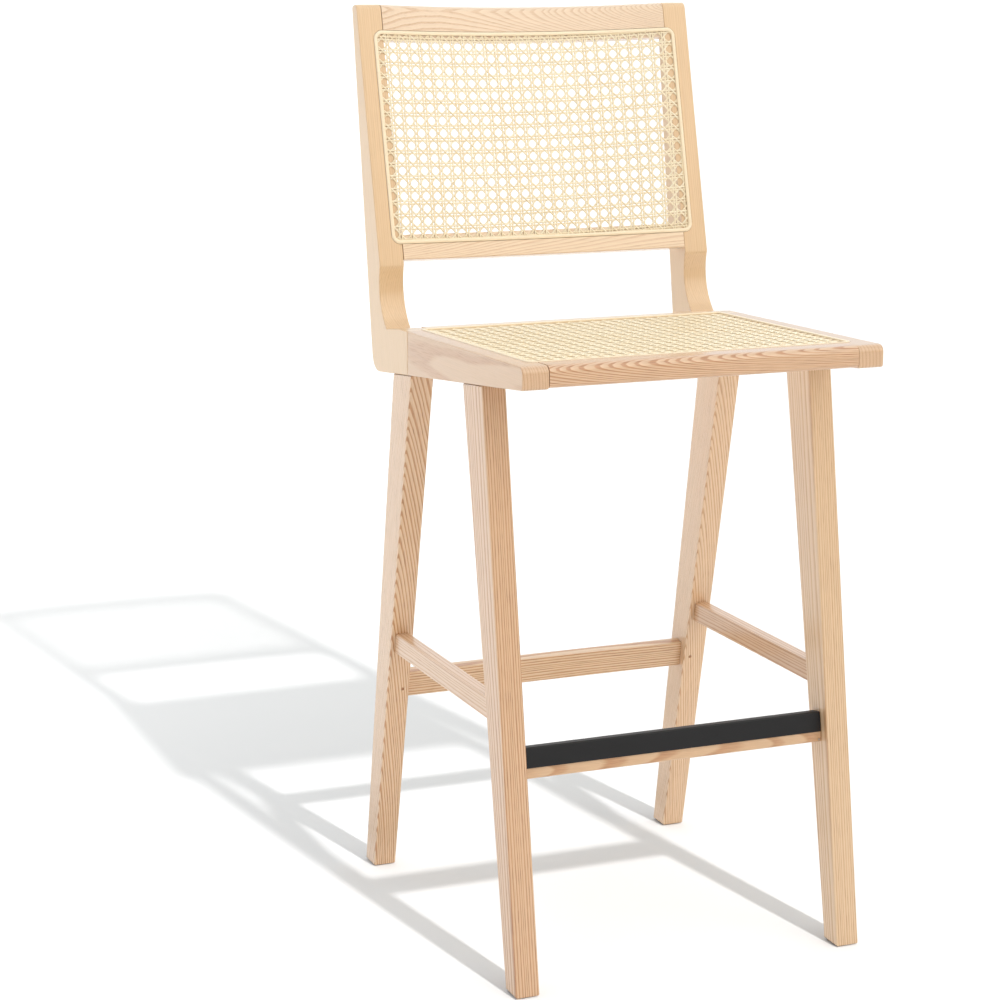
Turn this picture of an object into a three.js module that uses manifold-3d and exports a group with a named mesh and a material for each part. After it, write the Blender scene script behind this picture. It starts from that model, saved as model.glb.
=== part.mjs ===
// Bar stool with a footrest: ash frame, cane back and seat, black steel plate on the front rung.
// Millimetres, +Z up. The stool faces -Y and stands on the floor plane z = 0.
// Every y below runs back from the front face of the seat; the finished group is then
// moved forward by half its depth, so that the origin is under the middle of its box.
import * as THREE from 'three';
import { mergeVertices } from 'three/addons/utils/BufferGeometryUtils.js';
import Module from 'manifold-3d';

const wasm = await Module();
wasm.setup();

// ---------------------------------------------------------------- driving dimensions

const GAP = 0.3; // air between pieces that touch on the real stool
const SIDES = [['left', -1], ['right', 1]];

// seat frame
const SEAT_HEIGHT = 762.2; // top of the seat at its front face
const SEAT_FALL = 0.0303; // drop of the seat's top per millimetre of depth
const HALF_WIDTH = 234.6; // to the outer face of a side rail
const RAIL_IN = 201; // to the inner face of a side rail and of a back post
const RAIL_BOTTOM = 734.85; // underside of a side rail at its front end
const RAIL_DROP = 0.1083; // the side rails grow deeper towards the back
const FRONT_RAIL = { depth: 52, bottom: 735.8 };
const REAR_RAIL = { front: 364, back: 402.5, bottom: 706 };
const SEAM_Y = 363; // glue seam between a side rail and the foot of its back post
const NOSE_RADIUS = 9; // round front edge of the seat

// back posts and back rails
const LEAN = Math.atan(0.256); // the back leans away from the sitter
const BACK_FOOT = { y: 461.5, z: 825.4 }; // where a post's front face starts to lean back
const BACK_HEIGHT = 333.8; // from there to the top, along the lean
const BOW_LOW = 6.9; // how far the rails bow back in the middle, at their lower edge
const BOW_GROWTH = 0.0441; // and how much more per millimetre of height
const BOTTOM_RAIL = { low: 2.6, high: 35.3, thick: 22, rounds: [1.5, 1.5] };
const TOP_RAIL = { low: 286.3, high: BACK_HEIGHT, thick: 17, rounds: [8, 4] }; // front, rear
const POST_REAR = { y: 496, z: 734, slope: 0.158 }; // straight rear edge of a post
const POST_HEEL = { y: 487.8, radius: 22 }; // where the rear edge meets the underside
const SCOOP = { ridge: [461, 822], heel: [438, 743.8], radius: 76 }; // hollow above the seat
const SCOOP_START_Y = 390; // the seat's own slope runs on to here, over the foot of a post
const EDGE_ROUND = 1.6; // on the long edges of posts, side rails and side rungs
const LEG_ROUND = 2.2;

// joints of the seat and the back: tenon sizes and where the dowels lie
const BACK_TENON = { front: 7, back: 13, margin: 6, length: 17, root: 6 };
const REAR_TENON = { front: 376, back: 390, low: 713, high: 737, length: 10 };
const LEG_DOWEL = { x: 218, up: 20, down: 28, radius: 5 };
const SEAM_DOWEL = { x: 218, zs: [721.5, 736], half: 25, radius: 4 };
const RAIL_DOWEL = { ys: [18, 42], z: 746, half: 20, radius: 4 };

// cane panels: rounded rectangles [half width, low edge, high edge, corner radius]
const BACK_GROOVE = { half: 215.3, low: 22.8, high: 299.3, radius: 12 };
const SEAT_GROOVE = { half: 213, low: 34, high: 379, radius: 11 };
const GROOVE_WIDTH = 5.6;
const GROOVE_DEPTH = 6;
const CANE_THICK = 1.3;
const CANE_RECESS = 1.9; // the frame is lowered this much under the cane
const SPLINE_PROUD = 0.8; // the reed in the groove stands this much above the wood
const BOARD_THICK = 9; // plywood under the seat cane
const CLEAR = 40; // how far a cutting slab stands above the wood it cuts

// legs: the y of the front and rear face at the foot, and the slope of each face
const LEG_OUT = 233.6;
const LEG_IN = 202.6;
const FOOT_Z = 2; // the wood ends this far above the floor
const LEGS = {
  front: { faces: [7.2, 39.6], slopes: [0.1596, 0.1993], dowelY: [139, 165] },
  rear: { faces: [496.3, 529.1], slopes: [-0.2064, -0.164], dowelY: [372, 398] },
};

// rungs: each is centred in its legs and turned to their lean
const FRONT_RUNG = { z: 270.3, y: 73.3, tilt: -0.178, thick: 17, tall: 36.2 };
const REAR_RUNG = { z: 266.4, y: 461.8, tilt: 0.183, thick: 17, tall: 34.8 };
const SIDE_RUNG = { low: 317.3, high: 343.9, inner: 209.7, outer: 227.7 };
const TENON_LENGTH = 20;
const PLATE = { thick: 1.5, tall: 25.2, half: LEG_IN - 1, bend: 0.9 };
const PLATE_SCREW = { head: 3.4, rim: 0.4, neck: 2.4, shank: 1.5, length: 15 };
const PLATE_SCREWS_X = [-130, 0, 130];
const RUNG_PIN = { x: 212, radius: 2, front: -19.6, back: 14 }; // flush with the leg's front
const BRAD = { x: 199.4, q: -15.2, radius: 1.3, length: 12 };
const TENON_SHOULDER = { thick: 3.5, tall: 5, side: 4 }; // how much thinner a tenon is, each side
const GLIDE = { disc: 10, rim: 1.5, edge: 0.8, nail: 1.5, depth: 15 };

const MATERIALS = {
  ash: new THREE.MeshStandardMaterial({ color: 0xe3bd92, roughness: 0.55, metalness: 0 }),
  cane: new THREE.MeshStandardMaterial({ color: 0xecd8ab, roughness: 0.5, metalness: 0 }),
  plywood: new THREE.MeshStandardMaterial({ color: 0xd9b98a, roughness: 0.7, metalness: 0 }),
  steel: new THREE.MeshStandardMaterial({ color: 0x1c1d20, roughness: 0.45, metalness: 0.3 }),
  zinc: new THREE.MeshStandardMaterial({ color: 0xb9bcc0, roughness: 0.35, metalness: 1 }),
  plastic: new THREE.MeshStandardMaterial({ color: 0x2a2624, roughness: 0.6, metalness: 0 }),
};

// ---------------------------------------------------------------- solids and outlines

const X_AXIS = new THREE.Vector3(1, 0, 0);
const Y_AXIS = new THREE.Vector3(0, 1, 0);
const Z_AXIS = new THREE.Vector3(0, 0, 1);

/** Turns a closed three.js geometry into a solid that can be joined and cut. */
function toSolid(geometry) {
  const bare = geometry.clone();
  bare.deleteAttribute('normal');
  bare.deleteAttribute('uv');
  const merged = mergeVertices(bare, 1e-3);
  return new wasm.Manifold(new wasm.Mesh({
    numProp: 3,
    vertProperties: Float32Array.from(merged.attributes.position.array),
    triVerts: Uint32Array.from(merged.index.array),
  }));
}

/** Turns a solid back into a named mesh. */
function toMesh(name, solid, material) {
  const { vertProperties, triVerts } = solid.getMesh();
  const geometry = new THREE.BufferGeometry();
  geometry.setAttribute('position', new THREE.BufferAttribute(vertProperties, 3));
  geometry.setIndex(new THREE.BufferAttribute(triVerts, 1));
  geometry.computeVertexNormals();
  const mesh = new THREE.Mesh(geometry, material);
  mesh.name = name;
  return mesh;
}

/** Cuts every tool out of the body. */
function cut(body, ...tools) {
  return tools.reduce((solid, tool) => solid.subtract(tool), body);
}

/** Rounds the corners of a closed outline given as [y, z, radius] corners. */
function rounded(corners, steps = 4) {
  const points = [];
  corners.forEach(([y, z, radius = 0], i) => {
    const corner = new THREE.Vector2(y, z);
    if (radius === 0) {
      points.push(corner);
      return;
    }
    const before = corners.at(i - 1);
    const after = corners[(i + 1) % corners.length];
    const toBefore = new THREE.Vector2(before[0] - y, before[1] - z).normalize();
    const toAfter = new THREE.Vector2(after[0] - y, after[1] - z).normalize();
    const half = Math.acos(toBefore.dot(toAfter)) / 2;
    const inward = toBefore.clone().add(toAfter).normalize();
    const centre = corner.clone().addScaledVector(inward, radius / Math.sin(half));
    const start = corner.clone().addScaledVector(toBefore, radius / Math.tan(half)).sub(centre);
    const turn = Math.sign(toBefore.cross(toAfter)) * (Math.PI - 2 * half);
    for (let k = 0; k <= steps; k += 1) {
      const spoke = start.clone().rotateAround(new THREE.Vector2(), (-turn * k) / steps);
      points.push(centre.clone().add(spoke));
    }
  });
  return points;
}

/** Points between two ends of an arc that swells towards +y. */
function arcBetween([y0, z0], [y1, z1], radius, steps) {
  const start = new THREE.Vector2(y0, z0);
  const end = new THREE.Vector2(y1, z1);
  const chord = end.clone().sub(start);
  const middle = start.clone().addScaledVector(chord, 0.5);
  const towardsCentre = new THREE.Vector2(chord.y, -chord.x).normalize();
  const reach = Math.sqrt(radius ** 2 - chord.lengthSq() / 4);
  const centre = middle.addScaledVector(towardsCentre, reach);
  const sweep = 2 * Math.asin(chord.length() / 2 / radius);
  return Array.from({ length: steps + 1 }, (_, k) => {
    const point = start.clone().rotateAround(centre, (-sweep * k) / steps);
    return [point.x, point.y];
  });
}

/** A board: an outline of Vector2(y, z) points, extruded along X between x0 and x1. */
function board(outline, x0, x1, edge = 0) {
  const geometry = new THREE.ExtrudeGeometry(new THREE.Shape(outline), {
    depth: x1 - x0 - 2 * edge,
    bevelEnabled: edge > 0,
    bevelThickness: edge,
    bevelSize: edge,
    bevelOffset: -edge,
    bevelSegments: 2,
  });
  geometry.applyMatrix4(new THREE.Matrix4().makeBasis(Y_AXIS, Z_AXIS, X_AXIS));
  geometry.translate(x0 + edge, 0, 0);
  return toSolid(geometry);
}

/** The same board on the given side of the stool, its x limits measured from the middle. */
function sideBoard(side, outline, inner, outer, edge = 0) {
  return side < 0 ? board(outline, -outer, -inner, edge) : board(outline, inner, outer, edge);
}

/** A box given by its low and high corner. */
function box([x0, y0, z0], [x1, y1, z1]) {
  const geometry = new THREE.BoxGeometry(x1 - x0, y1 - y0, z1 - z0);
  geometry.translate((x0 + x1) / 2, (y0 + y1) / 2, (z0 + z1) / 2);
  return toSolid(geometry);
}

/** A turned solid: a profile of [radius, height] points, standing at `from` along `axis`. */
function turned(profile, from, axis, segments = 12) {
  const points = profile.map(([radius, height]) => new THREE.Vector2(radius, height));
  const geometry = new THREE.LatheGeometry(points, segments);
  const turn = new THREE.Quaternion().setFromUnitVectors(Y_AXIS, axis);
  geometry.applyMatrix4(new THREE.Matrix4().makeRotationFromQuaternion(turn));
  geometry.translate(from.x, from.y, from.z);
  return toSolid(geometry);
}

/** A straight rod between two points. */
function rod(from, to, radius) {
  const axis = to.clone().sub(from);
  const length = axis.length();
  return turned([[0, 0], [radius, 0], [radius, length], [0, length]], from, axis.normalize());
}

/** The hole for a rod: wider by the gap, and longer by the gap at both ends. */
function rodHole(from, to, radius) {
  const reach = to.clone().sub(from).setLength(GAP);
  return rod(from.clone().sub(reach), to.clone().add(reach), radius + GAP);
}

/** A closed solid through rings that all have the same number of points. */
function loft(rings) {
  const count = rings[0].length;
  const last = (rings.length - 1) * count;
  const faces = [];
  for (let ring = 0; ring < last; ring += count) {
    for (let i = 0; i < count; i += 1) {
      const a = ring + i;
      const b = ring + ((i + 1) % count);
      faces.push(a, b, b + count, a, b + count, a + count);
    }
  }
  for (let i = 1; i + 1 < count; i += 1) {
    faces.push(0, i + 1, i, last, last + i, last + i + 1);
  }
  const geometry = new THREE.BufferGeometry();
  const positions = rings.flat().flatMap((point) => point.toArray());
  geometry.setAttribute('position', new THREE.Float32BufferAttribute(positions, 3));
  geometry.setIndex(faces);
  return toSolid(geometry);
}

// ---------------------------------------------------------------- the two cane surfaces

const seatTop = (y) => SEAT_HEIGHT - SEAT_FALL * y;
const railBottom = (y) => RAIL_BOTTOM - RAIL_DROP * y;

/** A point of the seat: x across, y back from the front face, depth down from the top. */
function seatPoint(x, y, depth) {
  return new THREE.Vector3(x, y, seatTop(y) - depth);
}

/** A point of the back: x across, height up along the lean, depth behind its bowed front face. */
function backPoint(x, height, depth) {
  const across = Math.min(Math.abs(x) / RAIL_IN, 1);
  const bow = (BOW_LOW + BOW_GROWTH * height) * (1 - across ** 2);
  const behind = depth + bow;
  return new THREE.Vector3(
    x,
    BACK_FOOT.y + height * Math.sin(LEAN) + behind * Math.cos(LEAN),
    BACK_FOOT.z + height * Math.cos(LEAN) - behind * Math.sin(LEAN),
  );
}

// Flat seat and bowed back: the point function and the number of steps its width needs.
const SEAT = { point: seatPoint, steps: 1 };
const BACK = { point: backPoint, steps: 14 };

/** A rounded rectangle laid on a surface, as a slab between two depths. */
function slab({ point, steps }, { half, low, high, radius }, top, bottom) {
  const cornerSteps = 4;
  const flat = half - radius;
  const right = [];
  for (let k = 1; k <= cornerSteps; k += 1) {
    const angle = (k / cornerSteps) * (Math.PI / 2);
    right.push([flat + radius * Math.sin(angle), radius * (1 - Math.cos(angle))]);
  }
  const left = right.map(([x, inset]) => [-x, inset]).reverse();
  const middle = Array.from({ length: steps + 1 }, (_, k) => [flat * ((2 * k) / steps - 1), 0]);
  return loft([...left, ...middle, ...right].map(([x, inset]) => [
    point(x, low + inset, top),
    point(x, low + inset, bottom),
    point(x, high - inset, bottom),
    point(x, high - inset, top),
  ]));
}

/** The same rounded rectangle, smaller all round by `inset`. */
function shrink({ half, low, high, radius }, inset) {
  return { half: half - inset, low: low + inset, high: high - inset, radius: radius - inset };
}

/** What a panel takes out of its frame: a groove for the reed and a shallow bed for the cane. */
function panelBed(surface, groove) {
  const outer = slab(surface, groove, -CLEAR, GROOVE_DEPTH);
  const island = slab(surface, shrink(groove, GROOVE_WIDTH), CANE_RECESS, GROOVE_DEPTH + 1);
  return outer.subtract(island);
}

/** The reed that holds the cane in its groove, as one closed loop. */
function spline(surface, groove) {
  const outer = slab(surface, shrink(groove, GAP), -SPLINE_PROUD, GROOVE_DEPTH - GAP);
  const inner = slab(surface, shrink(groove, GROOVE_WIDTH - GAP), -2, GROOVE_DEPTH + 1);
  return outer.subtract(inner);
}

/** The cane itself: a thin sheet that lies in the bed and ends at the reed. */
function caneSheet(surface, groove) {
  const top = CANE_RECESS - GAP - CANE_THICK;
  return slab(surface, shrink(groove, GROOVE_WIDTH), top, top + CANE_THICK);
}

// ---------------------------------------------------------------- rungs and their joints

/** A point of a rung's turned cross-section: p back through it, q up along it. */
function rungPoint(rung, x, p, q) {
  const cos = Math.cos(rung.tilt);
  const sin = Math.sin(rung.tilt);
  return new THREE.Vector3(x, rung.y + p * cos - q * sin, rung.z + p * sin + q * cos);
}

/** A bar along X whose [p, q, radius] corners lie in a rung's turned cross-section. */
function rungProfile(rung, halfLength, corners) {
  const outline = rounded(corners, 3).map(({ x: p, y: q }) => {
    const point = rungPoint(rung, 0, p, q);
    return new THREE.Vector2(point.y, point.z);
  });
  return board(outline, -halfLength, halfLength);
}

/** The same with a plain rectangle for its section. */
function rungBar(rung, halfLength, [p0, p1], [q0, q1], radius = 0) {
  return rungProfile(rung, halfLength, [
    [p0, q0, radius], [p1, q0, radius], [p1, q1, radius], [p0, q1, radius],
  ]);
}

/** The tenons of a rung, as one long bar; `play` makes the mortise that takes them. */
function rungTenon(rung, play = 0) {
  const halfThick = rung.thick / 2 - TENON_SHOULDER.thick + play;
  const halfTall = rung.tall / 2 - TENON_SHOULDER.tall + play;
  const halfLength = LEG_IN + TENON_LENGTH + play;
  return rungBar(rung, halfLength, [-halfThick, halfThick], [-halfTall, halfTall]);
}

/** A rung between two legs, tenoned into both. */
function rungSolid(rung) {
  const halfThick = rung.thick / 2;
  const halfTall = rung.tall / 2;
  const body = rungBar(rung, LEG_IN - GAP, [-halfThick, halfThick], [-halfTall, halfTall], 2);
  return body.add(rungTenon(rung));
}

const legFace = (leg, which, z) => leg.faces[which] + leg.slopes[which] * (z - FOOT_Z);

/** Outline of a side rung, which runs from the front leg's rear face to the rear leg's front. */
function sideRungOutline() {
  const { low, high } = SIDE_RUNG;
  return rounded([
    [legFace(LEGS.front, 1, low) + GAP, low],
    [legFace(LEGS.rear, 0, low) - GAP, low],
    [legFace(LEGS.rear, 0, high) - GAP, high],
    [legFace(LEGS.front, 1, high) + GAP, high],
  ]);
}

/** The tenons of a side rung, as one long bar through it. */
function sideRungTenon(side, play = 0) {
  const { low, high, inner, outer } = SIDE_RUNG;
  const start = legFace(LEGS.front, 1, high) - TENON_LENGTH - play;
  const end = legFace(LEGS.rear, 0, high) + TENON_LENGTH + play;
  const cheek = TENON_SHOULDER.side - play;
  const shoulder = TENON_SHOULDER.tall - play;
  const xs = [side * (inner + cheek), side * (outer - cheek)].sort((a, b) => a - b);
  return box([xs[0], start, low + shoulder], [xs[1], end, high - shoulder]);
}

// ---------------------------------------------------------------- fasteners

/** The two dowels that join the top of a leg to the rail over it. */
function legDowels(which, side) {
  const leg = LEGS[which];
  return leg.dowelY.map((y) => {
    const down = new THREE.Vector3(0, -(leg.slopes[0] + leg.slopes[1]) / 2, -1).normalize();
    const joint = new THREE.Vector3(side * LEG_DOWEL.x, y, railBottom(y));
    const top = joint.clone().addScaledVector(down, -LEG_DOWEL.up);
    return [top, joint.addScaledVector(down, LEG_DOWEL.down)];
  });
}

/** The two dowels across the glue seam between a side rail and its back post. */
function seamDowels(side) {
  const { x, zs, half } = SEAM_DOWEL;
  return zs.map((z) => [
    new THREE.Vector3(side * x, SEAM_Y - half, z),
    new THREE.Vector3(side * x, SEAM_Y + half, z),
  ]);
}

/** The two dowels that join an end of the front rail to a side rail. */
function frontRailDowels(side) {
  const { ys, z, half } = RAIL_DOWEL;
  return ys.map((y) => [
    new THREE.Vector3(side * (RAIL_IN - half), y, z),
    new THREE.Vector3(side * (RAIL_IN + half), y, z),
  ]);
}

const holes = (dowels, radius) => dowels.map(([from, to]) => rodHole(from, to, radius));

/** The pin through the front face of a rear leg into the rear rung's tenon. */
function rungPin(side) {
  const x = side * RUNG_PIN.x;
  return [RUNG_PIN.front, RUNG_PIN.back].map((p) => rungPoint(REAR_RUNG, x, p, 0));
}

/** The brad at an end of the front rung, just under the steel plate. */
function brad(side) {
  const face = -FRONT_RUNG.thick / 2 - 0.1;
  return [face, face + BRAD.length].map((p) => rungPoint(FRONT_RUNG, side * BRAD.x, p, BRAD.q));
}

// ---------------------------------------------------------------- corner blocks

const BLOCK_LEG = 48; // how far a corner block reaches along each rail
const BLOCK_THICK = 13;
const BLOCK_SCREW = { shank: 2, head: 4, into: 6 };

const boardDepth = CANE_RECESS + GAP + BOARD_THICK;

/** Corner blocks: [name, side, y of the corner, direction into the seat]. */
const BLOCKS = SIDES.flatMap(([name, side]) => [
  [`corner_block_front_${name}`, side, FRONT_RAIL.depth + GAP, 1],
  [`corner_block_rear_${name}`, side, REAR_RAIL.front - GAP, -1],
]);

/** A triangular block under the seat board, glued into the corner of the seat frame. */
function cornerBlock(side, cornerY, inward) {
  const top = boardDepth + GAP;
  const edge = side * (RAIL_IN - GAP);
  const tip = edge - side * BLOCK_LEG;
  const nib = 8;
  const plan = [
    [edge, cornerY], [tip, cornerY], [tip, cornerY + inward * nib],
    [edge - side * nib, cornerY + inward * BLOCK_LEG], [edge, cornerY + inward * BLOCK_LEG],
  ];
  const ordered = side * inward > 0 ? plan : [...plan].reverse();
  return loft([
    ordered.map(([x, y]) => seatPoint(x, y, top)),
    ordered.map(([x, y]) => seatPoint(x, y, top + BLOCK_THICK)),
  ]);
}

/** Where a corner block's screw enters it from below. */
function blockScrewFoot(side, cornerY, inward) {
  const reach = 17;
  const depth = boardDepth + GAP + BLOCK_THICK;
  return seatPoint(side * (RAIL_IN - reach), cornerY + inward * reach, depth);
}

/** A pan-head screw from below, through the block and into the seat board. */
function blockScrew(foot) {
  const { shank, head, into } = BLOCK_SCREW;
  const length = BLOCK_THICK + into;
  const profile = [
    [0, -2.4], [head * 0.6, -2.2], [head, -1], [head, -GAP],
    [shank, -GAP], [shank, length - 2], [0, length],
  ];
  return turned(profile, foot, Z_AXIS);
}

/** The hole that a corner block's screw needs in the block and the board. */
function blockScrewHole(foot) {
  const length = BLOCK_THICK + BLOCK_SCREW.into + GAP;
  const top = foot.clone().addScaledVector(Z_AXIS, length);
  return rod(foot.clone().addScaledVector(Z_AXIS, -3), top, BLOCK_SCREW.shank + GAP);
}

const BLOCK_FEET = BLOCKS.map(([, ...place]) => blockScrewFoot(...place));

// ---------------------------------------------------------------- the pieces

const backBed = panelBed(BACK, BACK_GROOVE);
const seatBed = panelBed(SEAT, SEAT_GROOVE);

/** A tenon at both ends of a back rail, as one bar in the back's own slope. */
function backTenon({ low, high }, play = 0) {
  const margin = BACK_TENON.margin - play;
  const front = BACK_TENON.front - play;
  const back = BACK_TENON.back + play;
  const ring = (x) => [
    backPoint(x, low + margin, front),
    backPoint(x, low + margin, back),
    backPoint(x, high - margin, back),
    backPoint(x, high - margin, front),
  ];
  const end = RAIL_IN + BACK_TENON.length + play;
  const root = RAIL_IN - BACK_TENON.root;
  return loft([ring(-end), ring(-root)]).add(loft([ring(root), ring(end)]));
}

/** The outline of a back post with its foot, which carries on the line of the side rail. */
function postOutline() {
  const rearY = (z) => POST_REAR.y + POST_REAR.slope * (z - POST_REAR.z);
  const top = backPoint(HALF_WIDTH, BACK_HEIGHT, 0);
  const topRear = backPoint(HALF_WIDTH, BACK_HEIGHT, TOP_RAIL.thick);
  return rounded([
    [SEAM_Y + GAP / 2, railBottom(SEAM_Y)],
    [POST_HEEL.y, railBottom(POST_HEEL.y), POST_HEEL.radius],
    [rearY(topRear.z), topRear.z, TOP_RAIL.rounds[1]],
    [top.y, top.z, TOP_RAIL.rounds[0]],
    ...arcBetween(SCOOP.ridge, SCOOP.heel, SCOOP.radius, 10),
    [SCOOP_START_Y, seatTop(SCOOP_START_Y)],
    [SEAM_Y + GAP / 2, seatTop(SEAM_Y)],
  ], 5);
}

function backPost(side) {
  const body = sideBoard(side, postOutline(), RAIL_IN, HALF_WIDTH, EDGE_ROUND);
  return cut(
    body,
    backBed,
    seatBed,
    backTenon(TOP_RAIL, GAP),
    backTenon(BOTTOM_RAIL, GAP),
    rearRailTenon(GAP),
    ...holes(seamDowels(side), SEAM_DOWEL.radius),
    ...holes(legDowels('rear', side), LEG_DOWEL.radius),
  );
}

function sideRail(side) {
  const outline = rounded([
    [0, RAIL_BOTTOM, 4],
    [SEAM_Y - GAP / 2, railBottom(SEAM_Y)],
    [SEAM_Y - GAP / 2, seatTop(SEAM_Y)],
    [0, SEAT_HEIGHT, NOSE_RADIUS],
  ]);
  const body = sideBoard(side, outline, RAIL_IN, HALF_WIDTH, EDGE_ROUND);
  return cut(
    body,
    seatBed,
    ...holes(seamDowels(side), SEAM_DOWEL.radius),
    ...holes(frontRailDowels(side), RAIL_DOWEL.radius),
    ...holes(legDowels('front', side), LEG_DOWEL.radius),
  );
}

function frontRail() {
  const { depth, bottom } = FRONT_RAIL;
  const outline = rounded([
    [0, bottom, 5],
    [depth, bottom],
    [depth, seatTop(depth)],
    [0, SEAT_HEIGHT, NOSE_RADIUS],
  ], 5);
  const body = board(outline, -RAIL_IN + GAP, RAIL_IN - GAP);
  const dowels = SIDES.flatMap(([, side]) => frontRailDowels(side));
  return cut(body, seatBed, ...holes(dowels, RAIL_DOWEL.radius));
}

/** The stub tenons at both ends of the rear rail, as one bar. */
function rearRailTenon(play = 0) {
  const { front, back, low, high, length } = REAR_TENON;
  const end = RAIL_IN + length + play;
  return box([-end, front - play, low - play], [end, back + play, high + play]);
}

function rearRail() {
  const { front, back, bottom } = REAR_RAIL;
  const outline = rounded([
    [front, bottom, 2],
    [back, bottom, 2],
    [back, seatTop(back), 3],
    [front, seatTop(front)],
  ]);
  return cut(board(outline, -RAIL_IN + GAP, RAIL_IN - GAP), seatBed).add(rearRailTenon());
}

/** A rail of the back: a rounded section carried across along the bow. */
function backRail(rail) {
  const { low, high, thick, rounds: [frontRadius, rearRadius] } = rail;
  const edge = 1.5;
  const section = rounded([
    [0, low, edge], [thick, low, edge], [thick, high, rearRadius], [0, high, frontRadius],
  ], 3);
  const end = RAIL_IN - GAP;
  const rings = Array.from({ length: BACK.steps + 1 }, (_, k) => {
    const x = end * ((2 * k) / BACK.steps - 1);
    return section.map(({ x: depth, y: height }) => backPoint(x, height, depth));
  });
  return cut(loft(rings), backBed).add(backTenon(rail));
}

function seatBoard() {
  const play = 2 * GAP;
  const low = FRONT_RAIL.depth + play;
  const high = REAR_RAIL.front - play;
  const outline = { half: RAIL_IN - play, low, high, radius: 3 };
  const top = CANE_RECESS + GAP;
  return cut(slab(SEAT, outline, top, top + BOARD_THICK), ...BLOCK_FEET.map(blockScrewHole));
}

function leg(which, side) {
  const shape = LEGS[which];
  const topOf = (face) => {
    const y = (shape.faces[face] + shape.slopes[face] * (RAIL_BOTTOM - GAP - FOOT_Z))
      / (1 + shape.slopes[face] * RAIL_DROP);
    return [y, railBottom(y) - GAP];
  };
  const outline = rounded([
    [shape.faces[0], FOOT_Z], [shape.faces[1], FOOT_Z], topOf(1), topOf(0),
  ]);
  const body = sideBoard(side, outline, LEG_IN, LEG_OUT, LEG_ROUND);
  const rung = which === 'front' ? FRONT_RUNG : REAR_RUNG;
  const tools = [
    rungTenon(rung, GAP),
    sideRungTenon(side, GAP),
    glide(which, side, GAP),
    ...holes(legDowels(which, side), LEG_DOWEL.radius),
  ];
  if (which === 'rear') {
    tools.push(rodHole(...rungPin(side), RUNG_PIN.radius));
  }
  return cut(body, ...tools);
}

/** A nail-on glide: a domed disc under the foot and the nail that holds it. */
function glide(which, side, play = 0) {
  const { faces } = LEGS[which];
  const { disc, rim, edge, depth } = GLIDE;
  const nail = GLIDE.nail + play;
  const top = FOOT_Z - GAP + play;
  const foot = new THREE.Vector3(side * (LEG_IN + LEG_OUT) / 2, (faces[0] + faces[1]) / 2, 0);
  const profile = [
    [0, 0], [disc - rim, 0], [disc, edge], [disc, top],
    [nail, top], [nail, depth - 2 + play], [0, depth + play],
  ];
  return turned(profile, foot, Z_AXIS, 16);
}

function sideRung(side) {
  const { inner, outer } = SIDE_RUNG;
  const body = sideBoard(side, sideRungOutline(), inner, outer, EDGE_ROUND);
  return body.add(sideRungTenon(side));
}

function rearRung() {
  const pins = SIDES.map(([, side]) => rodHole(...rungPin(side), RUNG_PIN.radius));
  return cut(rungSolid(REAR_RUNG), ...pins);
}

function frontRung() {
  const brads = SIDES.map(([, side]) => rodHole(...brad(side), BRAD.radius));
  const screws = PLATE_SCREWS_X.map((x) => plateScrew(x, GAP));
  return cut(rungSolid(FRONT_RUNG), ...brads, ...screws);
}

/** The steel angle over the front rung: one flange down its face, one back over its top. */
function footrestPlate() {
  const { thick, tall, half, bend } = PLATE;
  const inner = [-FRONT_RUNG.thick / 2 - GAP, FRONT_RUNG.tall / 2 + GAP];
  const outer = [inner[0] - thick, inner[1] + thick];
  const back = FRONT_RUNG.thick / 2 - 1;
  const low = outer[1] - tall;
  const body = rungProfile(FRONT_RUNG, half, [
    [outer[0], low, 0.4],
    [inner[0], low, 0.4],
    [...inner, bend],
    [back, inner[1], 0.4],
    [back, outer[1], 0.4],
    [...outer, bend + thick],
  ]);
  return cut(body, ...PLATE_SCREWS_X.map((x) => plateScrew(x, GAP)));
}

/** A countersunk screw, flush with the top of the plate. */
function plateScrew(x, play = 0) {
  const head = rungPoint(FRONT_RUNG, x, 0, FRONT_RUNG.tall / 2 + GAP + PLATE.thick);
  const down = rungPoint(FRONT_RUNG, x, 0, 0).sub(head).normalize();
  const rim = PLATE_SCREW.head + play;
  const shank = PLATE_SCREW.shank + play;
  const profile = [
    [0, -play], [rim, -play], [rim, PLATE_SCREW.rim + play], [shank, PLATE_SCREW.neck + play],
    [shank, PLATE_SCREW.length - 1 + play], [0, PLATE_SCREW.length + play],
  ];
  return turned(profile, head, down);
}

// ---------------------------------------------------------------- assembly

const stool = new THREE.Group();
stool.name = 'bar_stool';

function add(name, solid, material = MATERIALS.ash) {
  stool.add(toMesh(name, solid, material));
}

for (const [name, side] of SIDES) {
  add(`back_post_${name}`, backPost(side));
  add(`seat_side_rail_${name}`, sideRail(side));
  add(`leg_front_${name}`, leg('front', side));
  add(`leg_rear_${name}`, leg('rear', side));
  add(`side_rung_${name}`, sideRung(side));
}
add('seat_front_rail', frontRail());
add('seat_rear_rail', rearRail());
add('back_top_rail', backRail(TOP_RAIL));
add('back_bottom_rail', backRail(BOTTOM_RAIL));
add('rear_rung', rearRung());
add('front_rung', frontRung());
add('footrest_plate', footrestPlate(), MATERIALS.steel);

add('back_cane_panel', caneSheet(BACK, BACK_GROOVE), MATERIALS.cane);
add('back_cane_spline', spline(BACK, BACK_GROOVE), MATERIALS.cane);
add('seat_cane_panel', caneSheet(SEAT, SEAT_GROOVE), MATERIALS.cane);
add('seat_cane_spline', spline(SEAT, SEAT_GROOVE), MATERIALS.cane);
add('seat_board', seatBoard(), MATERIALS.plywood);

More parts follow.
